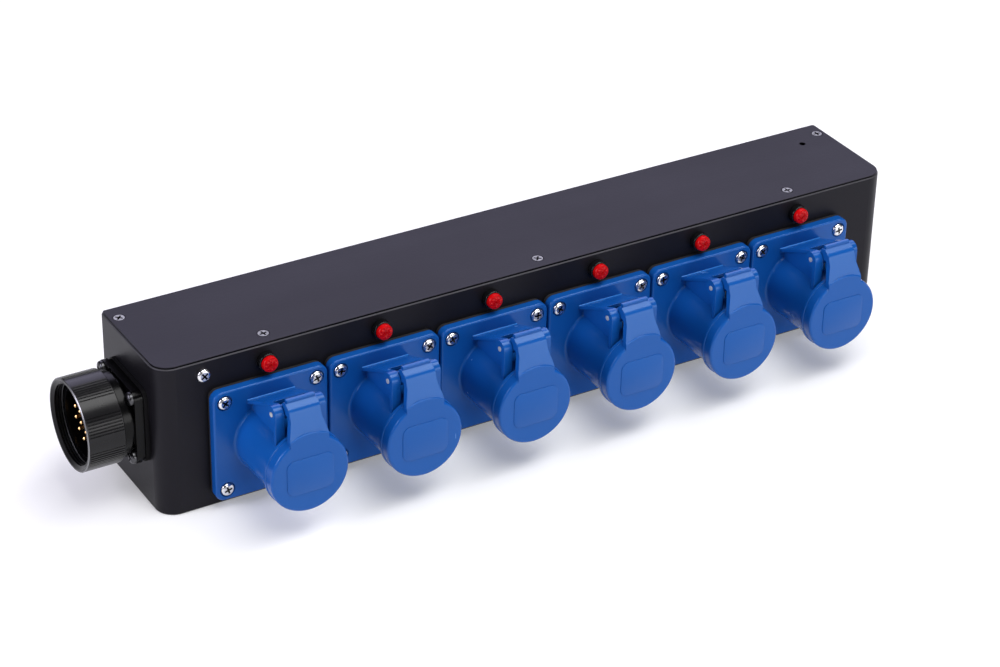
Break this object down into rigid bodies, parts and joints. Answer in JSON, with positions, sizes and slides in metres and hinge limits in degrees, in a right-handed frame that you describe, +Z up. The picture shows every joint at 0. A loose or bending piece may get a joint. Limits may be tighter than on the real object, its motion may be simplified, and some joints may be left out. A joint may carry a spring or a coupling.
{
  "type": "stage power distribution box",
  "caption": "Long black steel box lying on its base, with a row of blue sprung-flap power sockets, red lamps above them and a round multipin inlet with a turning ring on one end.",
  "frame": {"origin": "middle of the housing's underside", "axes": "+X along the box to the right seen from the sockets, -Y the way the sockets face, +Z up"},
  "size_m": [0.5598, 0.1375, 0.102],
  "materials": {
    "black_steel": "satin black powder coat",
    "blue_plastic": "moulded blue polyamide, slight gloss",
    "carrier_plastic": "dark moulded insulator",
    "zinc_steel": "bright zinc plate",
    "black_steel_screw": "black zinc plate",
    "spring_steel": "oiled spring steel",
    "rubber": "black rubber",
    "contact_brass": "plain brass",
    "gilt_brass": "gold plate",
    "red_lens": "clear red moulding",
    "black_plastic": "black moulding",
    "black_aluminium": "black anodised, turned",
    "wire_insulation": "black sheathed wires"
  },
  "bodies": {
    "box": {"contact_carrier_1": "carrier_plastic", "contact_carrier_2": "carrier_plastic", "contact_carrier_3": "carrier_plastic", "contact_carrier_4": "carrier_plastic", "contact_carrier_5": "carrier_plastic", "contact_carrier_6": "carrier_plastic", "earth_lug": "zinc_steel", "earth_nut": "zinc_steel", "earth_screw": "zinc_steel", "flap_spring_1": "spring_steel", "flap_spring_2": "spring_steel", "flap_spring_3": "spring_steel", "flap_spring_4": "spring_steel", "flap_spring_5": "spring_steel", "flap_spring_6": "spring_steel", "hinge_pins": "zinc_steel", "housing": "black_steel", "inlet_gasket": "rubber", "inlet_insert": "black_plastic", "inlet_nuts": "zinc_steel", "inlet_pins": "gilt_brass", "inlet_screws": "black_steel_screw", "inlet_shell": "black_aluminium", "lamp_bodies": "black_plastic", "lamp_lenses": "red_lens", "lamp_nuts": "zinc_steel", "lid": "black_steel", "lid_nuts": "zinc_steel", "lid_screws": "zinc_steel", "loom_saddles": "black_plastic", "ring_retainer": "spring_steel", "socket_body_1": "blue_plastic", "socket_body_2": "blue_plastic", "socket_body_3": "blue_plastic", "socket_body_4": "blue_plastic", "socket_body_5": "blue_plastic", "socket_body_6": "blue_plastic", "socket_contacts": "contact_brass", "socket_gaskets": "rubber", "socket_nuts": "zinc_steel", "socket_screws": "zinc_steel", "wire_loom": "wire_insulation"},
    "flap_unit_1": {"flap_1": "blue_plastic", "flap_seal_1": "rubber"},
    "flap_unit_2": {"flap_2": "blue_plastic", "flap_seal_2": "rubber"},
    "flap_unit_3": {"flap_3": "blue_plastic", "flap_seal_3": "rubber"},
    "flap_unit_4": {"flap_4": "blue_plastic", "flap_seal_4": "rubber"},
    "flap_unit_5": {"flap_5": "blue_plastic", "flap_seal_5": "rubber"},
    "flap_unit_6": {"flap_6": "blue_plastic", "flap_seal_6": "rubber"},
    "ring_unit": {"coupling_ring": "black_aluminium"}
  },
  "joints": [
    {"name": "flap_hinge_1", "type": "hinge", "parent": "box", "child": "flap_unit_1", "pos_m": [-0.19182, -0.0813, 0.0807], "axis": [-1, 0, 0], "range_deg": [0, 95], "stiffness_Nm_per_rad": 0.05, "springref_deg": -34.38, "deforming": ["flap_spring_1"]},
    {"name": "flap_hinge_2", "type": "hinge", "parent": "box", "child": "flap_unit_2", "pos_m": [-0.11578, -0.0813, 0.0807], "axis": [-1, 0, 0], "range_deg": [0, 95], "stiffness_Nm_per_rad": 0.05, "springref_deg": -34.38, "deforming": ["flap_spring_2"]},
    {"name": "flap_hinge_3", "type": "hinge", "parent": "box", "child": "flap_unit_3", "pos_m": [-0.03973, -0.0813, 0.0807], "axis": [-1, 0, 0], "range_deg": [0, 95], "stiffness_Nm_per_rad": 0.05, "springref_deg": -34.38, "deforming": ["flap_spring_3"]},
    {"name": "flap_hinge_4", "type": "hinge", "parent": "box", "child": "flap_unit_4", "pos_m": [0.03633, -0.0813, 0.0807], "axis": [-1, 0, 0], "range_deg": [0, 95], "stiffness_Nm_per_rad": 0.05, "springref_deg": -34.38, "deforming": ["flap_spring_4"]},
    {"name": "flap_hinge_5", "type": "hinge", "parent": "box", "child": "flap_unit_5", "pos_m": [0.11238, -0.0813, 0.0807], "axis": [-1, 0, 0], "range_deg": [0, 95], "stiffness_Nm_per_rad": 0.05, "springref_deg": -34.38, "deforming": ["flap_spring_5"]},
    {"name": "flap_hinge_6", "type": "hinge", "parent": "box", "child": "flap_unit_6", "pos_m": [0.18843, -0.0813, 0.0807], "axis": [-1, 0, 0], "range_deg": [0, 95], "stiffness_Nm_per_rad": 0.05, "springref_deg": -34.38, "deforming": ["flap_spring_6"]},
    {"name": "ring_spin", "type": "hinge", "parent": "box", "child": "ring_unit", "pos_m": [-0.288, 0, 0.056], "axis": [-1, 0, 0], "continuous": true}
  ]
}
